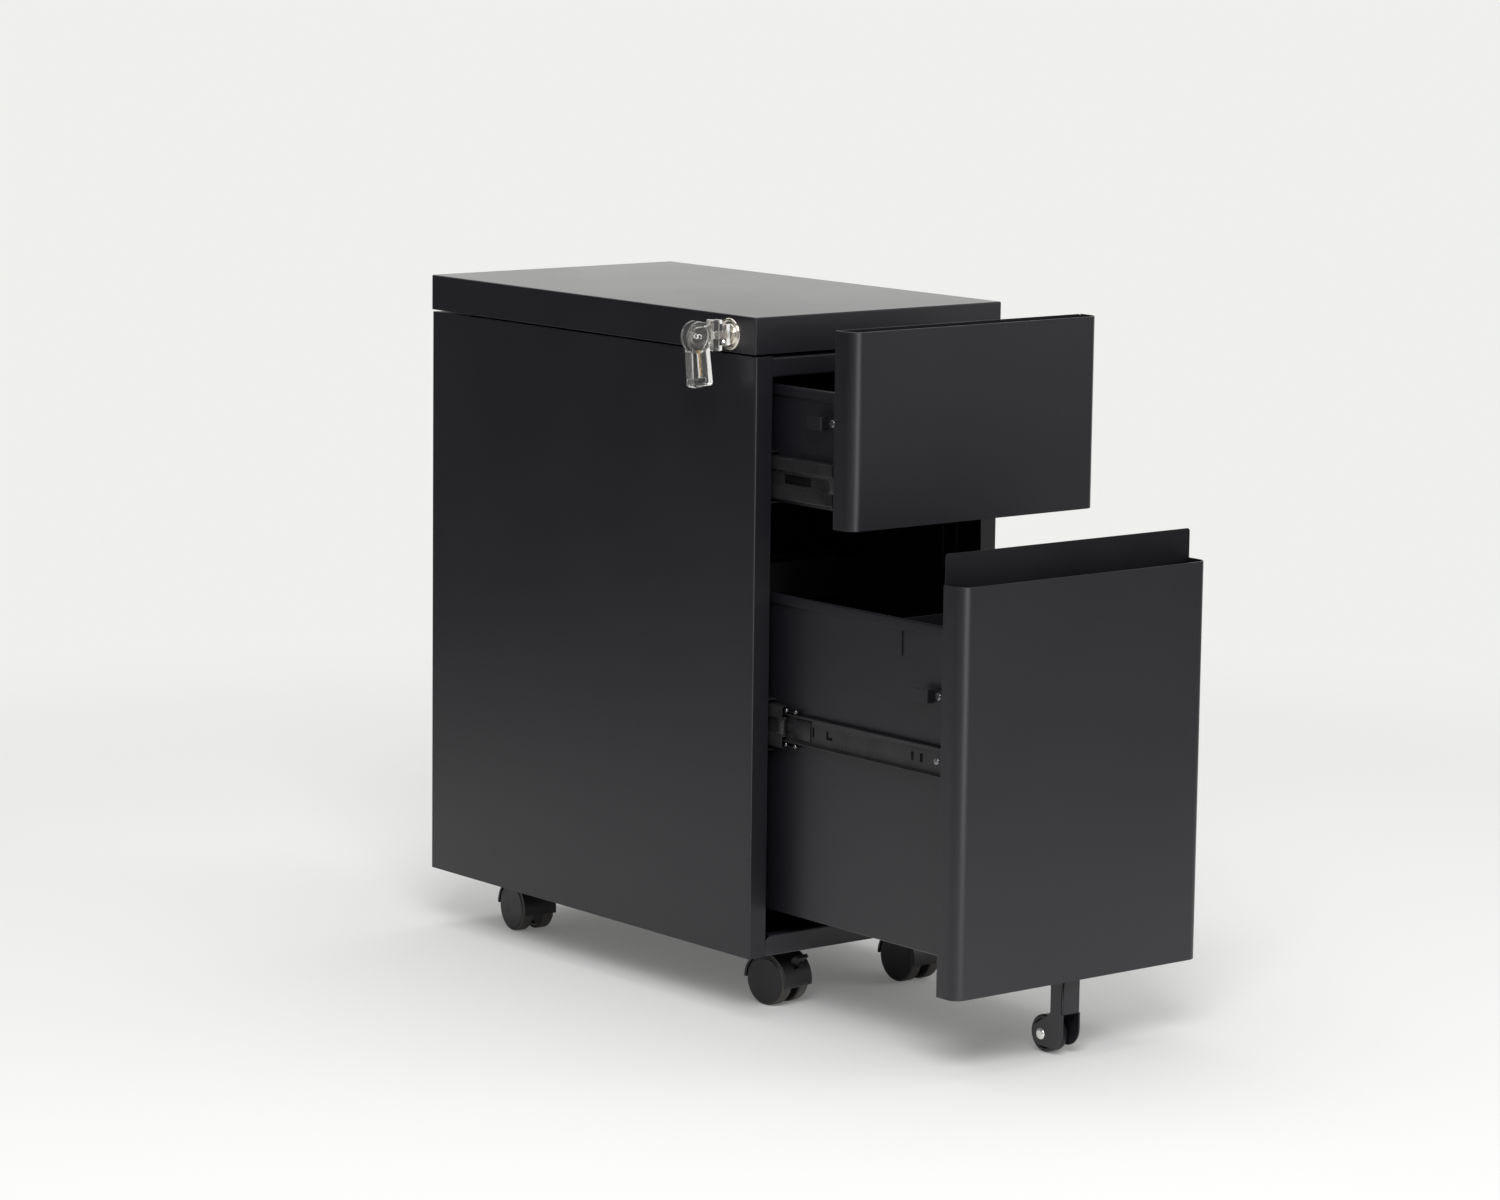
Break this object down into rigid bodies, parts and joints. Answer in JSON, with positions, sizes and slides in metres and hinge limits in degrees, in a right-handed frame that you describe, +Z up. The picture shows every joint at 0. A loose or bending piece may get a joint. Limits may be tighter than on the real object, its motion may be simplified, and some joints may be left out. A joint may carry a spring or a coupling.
{
  "type": "mobile filing cabinet",
  "caption": "Narrow steel filing cabinet on hooded casters, with drawers on ball-bearing slides, finger pulls, an anti-tip wheel and a side lock with a folding key.",
  "frame": {"origin": "on the floor under the middle of the whole object's box at rest, with the drawers part open as in the picture", "axes": "+X to the right seen from the front, +Y to the back, +Z up"},
  "size_m": [0.356, 0.8094, 0.662],
  "materials": {
    "black_powder_coat": "fine textured matt powder coat",
    "black_zinc_steel": "smooth satin black",
    "ball_steel": "polished",
    "black_screw": "oiled black",
    "nickel": "polished",
    "key_steel": "satin",
    "clear_plastic": "polished clear",
    "brass_wire": "polished",
    "caster_nylon": "satin moulded",
    "caster_tread": "smooth moulded",
    "rivet_zinc": "bright zinc"
  },
  "bodies": {
    "carcass": {"side_panel_left": "black_powder_coat", "side_panel_right": "black_powder_coat", "back_panel": "black_powder_coat", "base_pan": "black_powder_coat", "top_front_rail": "black_powder_coat", "top_cap": "black_powder_coat", "slide_posts_left": "black_powder_coat", "slide_posts_right": "black_powder_coat", "carcass_screws": "black_screw", "caster_plates": "rivet_zinc", "lock_housing": "nickel", "upper_slide_right_outer": "black_zinc_steel", "upper_slide_left_outer": "black_zinc_steel", "lower_slide_right_outer": "black_zinc_steel", "lower_slide_left_outer": "black_zinc_steel"},
    "upper_drawer": {"upper_drawer_tray": "black_powder_coat", "upper_drawer_back": "black_powder_coat", "upper_drawer_front": "black_powder_coat", "upper_inner_front": "black_powder_coat", "upper_lock_hook": "black_powder_coat", "upper_drawer_screws": "black_screw", "upper_slide_right_inner": "black_zinc_steel", "upper_slide_left_inner": "black_zinc_steel"},
    "upper_middle_members": {"upper_slide_right_middle": "black_zinc_steel", "upper_slide_left_middle": "black_zinc_steel"},
    "upper_outer_cages": {"upper_outer_ball_cages": "ball_steel"},
    "upper_inner_cages": {"upper_inner_ball_cages": "ball_steel"},
    "lower_drawer": {"lower_drawer_tray": "black_powder_coat", "lower_drawer_back": "black_powder_coat", "lower_drawer_front": "black_powder_coat", "lower_inner_front": "black_powder_coat", "lower_lock_hook": "black_powder_coat", "lower_drawer_screws": "black_screw", "lower_slide_right_inner": "black_zinc_steel", "lower_slide_left_inner": "black_zinc_steel", "file_bars": "black_powder_coat", "fifth_wheel_fork": "black_powder_coat", "fifth_wheel_rivet": "rivet_zinc"},
    "lower_middle_members": {"lower_slide_right_middle": "black_zinc_steel", "lower_slide_left_middle": "black_zinc_steel"},
    "lower_outer_cages": {"lower_outer_ball_cages": "ball_steel"},
    "lower_inner_cages": {"lower_inner_ball_cages": "ball_steel"},
    "fifth_wheel": {"fifth_wheel": "caster_tread"},
    "lock_plug": {"lock_plug": "nickel", "lock_cam": "rivet_zinc", "key_blade": "key_steel", "key_block": "clear_plastic"},
    "key_grip": {"key_handle": "clear_plastic", "key_spring": "brass_wire"},
    "lock_bar": {"lock_bar": "black_powder_coat"},
    "caster_front_left": {"caster_hood_front_left": "caster_nylon"},
    "wheels_front_left": {"caster_wheels_front_left": "caster_tread"},
    "brake_front_left": {"brake_lever_front_left": "caster_nylon"},
    "caster_front_right": {"caster_hood_front_right": "caster_nylon"},
    "wheels_front_right": {"caster_wheels_front_right": "caster_tread"},
    "brake_front_right": {"brake_lever_front_right": "caster_nylon"},
    "caster_back_left": {"caster_hood_back_left": "caster_nylon"},
    "wheels_back_left": {"caster_wheels_back_left": "caster_tread"},
    "caster_back_right": {"caster_hood_back_right": "caster_nylon"},
    "wheels_back_right": {"caster_wheels_back_right": "caster_tread"}
  },
  "joints": [
    {"name": "upper_drawer_slide", "type": "slide", "parent": "carcass", "child": "upper_drawer", "axis": [0, -1, 0], "range_m": [-0.1124, 0.2876]},
    {"name": "upper_middle_members_slide", "type": "slide", "parent": "carcass", "child": "upper_middle_members", "axis": [0, -1, 0], "range_m": [-0.08665, 0.22155]},
    {"name": "upper_outer_cages_slide", "type": "slide", "parent": "carcass", "child": "upper_outer_cages", "axis": [0, -1, 0], "range_m": [-0.04337, 0.11083]},
    {"name": "upper_inner_cages_slide", "type": "slide", "parent": "carcass", "child": "upper_inner_cages", "axis": [0, -1, 0], "range_m": [-0.09957, 0.25463]},
    {"name": "lower_drawer_slide", "type": "slide", "parent": "carcass", "child": "lower_drawer", "axis": [0, -1, 0], "range_m": [-0.2665, 0.1335]},
    {"name": "lower_middle_members_slide", "type": "slide", "parent": "carcass", "child": "lower_middle_members", "axis": [0, -1, 0], "range_m": [-0.01822, 0.00918]},
    {"name": "lower_outer_cages_slide", "type": "slide", "parent": "carcass", "child": "lower_outer_cages", "axis": [0, -1, 0], "range_m": [-0.00916, 0.00464]},
    {"name": "lower_inner_cages_slide", "type": "slide", "parent": "carcass", "child": "lower_inner_cages", "axis": [0, -1, 0], "range_m": [-0.14241, 0.07139]},
    {"name": "fifth_wheel_spin", "type": "hinge", "parent": "lower_drawer", "child": "fifth_wheel", "pos_m": [0.027, -0.36605, 0.0178], "axis": [1, 0, 0], "continuous": true},
    {"name": "lock_turn", "type": "hinge", "parent": "carcass", "child": "lock_plug", "pos_m": [-0.113, -0.07405, 0.6438], "axis": [1, 0, 0], "range_deg": [0, 90]},
    {"name": "key_fold", "type": "hinge", "parent": "lock_plug", "child": "key_grip", "pos_m": [-0.164, -0.07405, 0.6438], "axis": [0, 1, 0], "range_deg": [0, 186]},
    {"name": "lock_bar_slide", "type": "slide", "parent": "carcass", "child": "lock_bar", "axis": [0, 0, -1], "range_m": [-0.0001, 0.01707]},
    {"name": "caster_swivel_front_left", "type": "hinge", "parent": "carcass", "child": "caster_front_left", "pos_m": [-0.057, -0.05125, 0.05], "axis": [0, 0, 1], "continuous": true},
    {"name": "wheel_spin_front_left", "type": "hinge", "parent": "caster_front_left", "child": "wheels_front_left", "pos_m": [-0.05422, -0.07105, 0.024], "axis": [0.9903, 0.1392, 0], "continuous": true},
    {"name": "brake_tilt_front_left", "type": "hinge", "parent": "caster_front_left", "child": "brake_front_left", "pos_m": [-0.05219, -0.08547, 0.03621], "axis": [0.9903, 0.1392, 0], "range_deg": [-12, 12]},
    {"name": "caster_swivel_front_right", "type": "hinge", "parent": "carcass", "child": "caster_front_right", "pos_m": [0.111, -0.05125, 0.05], "axis": [0, 0, 1], "continuous": true},
    {"name": "wheel_spin_front_right", "type": "hinge", "parent": "caster_front_right", "child": "wheels_front_right", "pos_m": [0.11135, -0.07125, 0.024], "axis": [0.9998, 0.0175, 0], "continuous": true},
    {"name": "brake_tilt_front_right", "type": "hinge", "parent": "caster_front_right", "child": "brake_front_right", "pos_m": [0.1116, -0.0858, 0.03621], "axis": [0.9998, 0.0175, 0], "range_deg": [-12, 12]},
    {"name": "caster_swivel_back_left", "type": "hinge", "parent": "carcass", "child": "caster_back_left", "pos_m": [-0.057, 0.34675, 0.05], "axis": [0, 0, 1], "continuous": true},
    {"name": "wheel_spin_back_left", "type": "hinge", "parent": "caster_back_left", "child": "wheels_back_left", "pos_m": [-0.05909, 0.32686, 0.024], "axis": [0.9945, -0.1045, 0], "continuous": true},
    {"name": "caster_swivel_back_right", "type": "hinge", "parent": "carcass", "child": "caster_back_right", "pos_m": [0.111, 0.34675, 0.05], "axis": [0, 0, 1], "continuous": true},
    {"name": "wheel_spin_back_right", "type": "hinge", "parent": "caster_back_right", "child": "wheels_back_right", "pos_m": [0.11516, 0.32719, 0.024], "axis": [0.9781, 0.2079, 0], "continuous": true}
  ],
  "couplings": [
    {"joint": "upper_middle_members_slide", "follows": "upper_drawer_slide", "ratio": 0.77},
    {"joint": "upper_outer_cages_slide", "follows": "upper_drawer_slide", "ratio": 0.385},
    {"joint": "upper_inner_cages_slide", "follows": "upper_drawer_slide", "ratio": 0.885},
    {"joint": "lower_middle_members_slide", "follows": "lower_drawer_slide", "ratio": 0.068},
    {"joint": "lower_outer_cages_slide", "follows": "lower_drawer_slide", "ratio": 0.034},
    {"joint": "lower_inner_cages_slide", "follows": "lower_drawer_slide", "ratio": 0.534},
    {"joint": "lock_bar_slide", "follows": "lock_turn", "m_per_rad": 0.010804}
  ]
}
